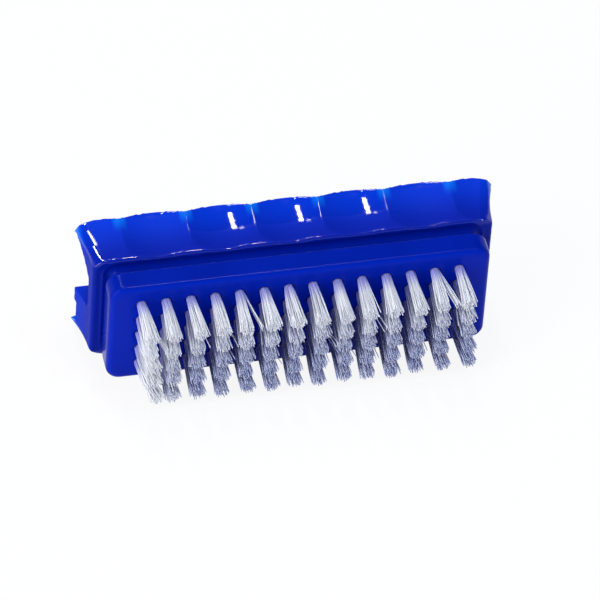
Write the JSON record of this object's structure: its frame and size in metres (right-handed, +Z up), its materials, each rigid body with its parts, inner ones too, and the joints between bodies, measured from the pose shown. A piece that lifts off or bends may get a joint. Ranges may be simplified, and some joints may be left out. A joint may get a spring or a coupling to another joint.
{
  "type": "nail brush",
  "caption": "Moulded nail brush: a grooved block of splayed nylon tufts, two wings with lobed rims and finger scoops, and a ribbed, hollow back.",
  "frame": {"origin": "middle of the footprint on the table, with the brush lying on its side as in the picture", "axes": "+X along the brush, +Y from the bristle tips towards the back, +Z up from the table; the brush leans about 6.5 degrees, because its lower wing and the lower edge of its block touch the table"},
  "size_m": [0.1036, 0.0392, 0.0356],
  "materials": {
    "body_plastic": "glossy injection-moulded polypropylene, royal blue, slightly translucent at thin edges",
    "bristle_nylon": "undyed nylon filament, pale and slightly translucent",
    "anchor_wire": "flat drawn wire, dull"
  },
  "bodies": {
    "root": {"body": "body_plastic", "tufts_column_01": "bristle_nylon", "tufts_column_02": "bristle_nylon", "tufts_column_03": "bristle_nylon", "tufts_column_04": "bristle_nylon", "tufts_column_05": "bristle_nylon", "tufts_column_06": "bristle_nylon", "tufts_column_07": "bristle_nylon", "tufts_column_08": "bristle_nylon", "tufts_column_09": "bristle_nylon", "tufts_column_10": "bristle_nylon", "tufts_column_11": "bristle_nylon", "tufts_column_12": "bristle_nylon", "tufts_column_13": "bristle_nylon", "tufts_column_14": "bristle_nylon", "anchors_column_01": "anchor_wire", "anchors_column_02": "anchor_wire", "anchors_column_03": "anchor_wire", "anchors_column_04": "anchor_wire", "anchors_column_05": "anchor_wire", "anchors_column_06": "anchor_wire", "anchors_column_07": "anchor_wire", "anchors_column_08": "anchor_wire", "anchors_column_09": "anchor_wire", "anchors_column_10": "anchor_wire", "anchors_column_11": "anchor_wire", "anchors_column_12": "anchor_wire", "anchors_column_13": "anchor_wire", "anchors_column_14": "anchor_wire"}
  },
  "joints": []
}
